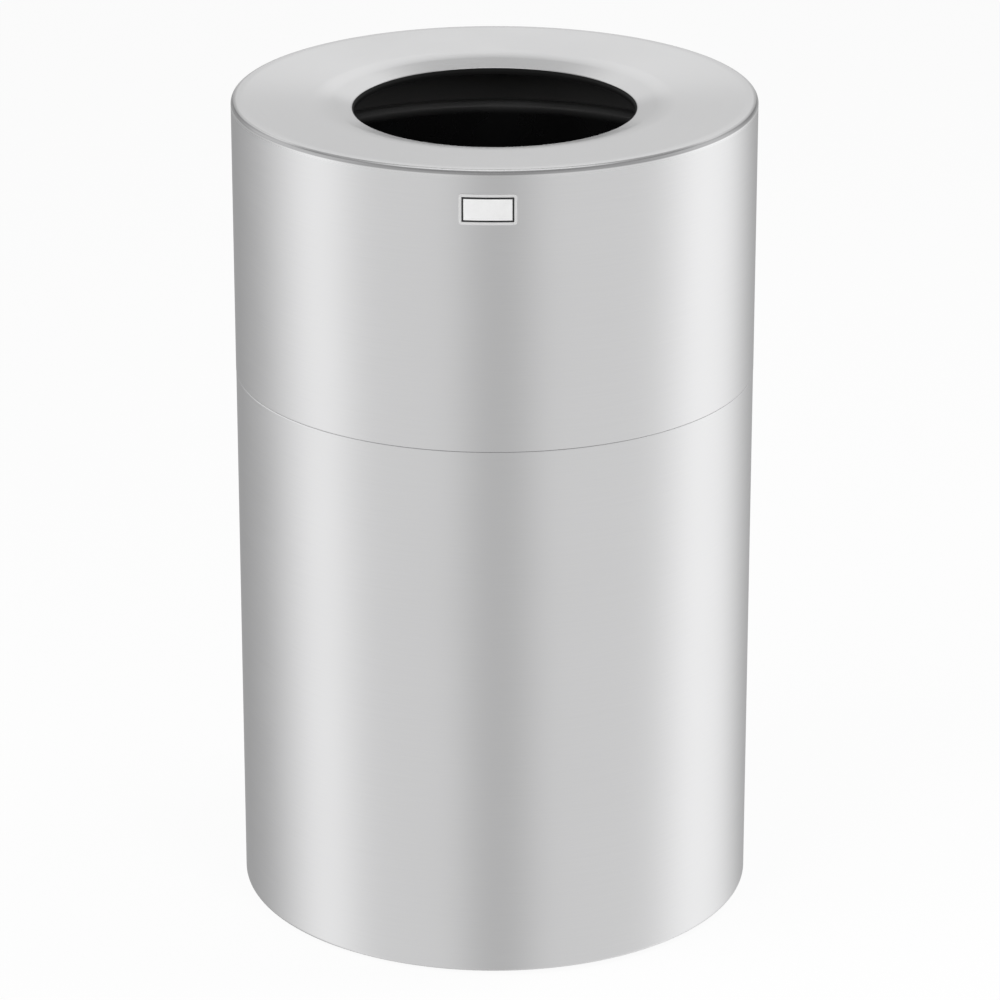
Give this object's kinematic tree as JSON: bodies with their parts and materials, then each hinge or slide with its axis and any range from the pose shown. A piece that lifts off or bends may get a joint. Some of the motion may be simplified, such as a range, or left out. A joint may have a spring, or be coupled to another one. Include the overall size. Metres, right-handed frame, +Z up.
{
  "type": "open-top trash can",
  "caption": "Round open-top lobby trash can in satin aluminium, with a lift-off upper section, a dished top with a round mouth, a black rigid liner and rubber feet.",
  "frame": {"origin": "on the floor under the middle of the bin", "axes": "+Z up along the bin's axis, -Y out of the front, where the badge is, +X to the right seen from the front"},
  "size_m": [0.572, 0.5733, 0.92],
  "materials": {
    "satin_aluminium": "satin, brushed round the bin",
    "mill_aluminium": "plain mill finish",
    "foot_rubber": "matte moulded",
    "zinc_steel": "zinc plated",
    "badge_metal": "pale plate with a dark line inside its border",
    "liner_plastic": "black moulded polyethylene"
  },
  "bodies": {
    "base": {"lower_shell": "satin_aluminium", "neck_ring": "satin_aluminium", "base_pan": "mill_aluminium", "rubber_foot_1": "foot_rubber", "rubber_foot_2": "foot_rubber", "rubber_foot_3": "foot_rubber", "rubber_foot_4": "foot_rubber", "foot_washers": "zinc_steel", "foot_screws": "zinc_steel", "foot_nuts": "zinc_steel"},
    "liner": {"liner": "liner_plastic"},
    "top": {"upper_shell": "satin_aluminium", "top_plate": "satin_aluminium", "badge_plate": "badge_metal"}
  },
  "joints": [
    {"name": "liner_lift", "type": "slide", "parent": "base", "child": "liner", "axis": [0, 0, 1], "range_m": [0, 0.65]},
    {"name": "top_lift", "type": "slide", "parent": "liner", "child": "top", "axis": [0, 0, 1], "range_m": [0, 0.26]}
  ]
}
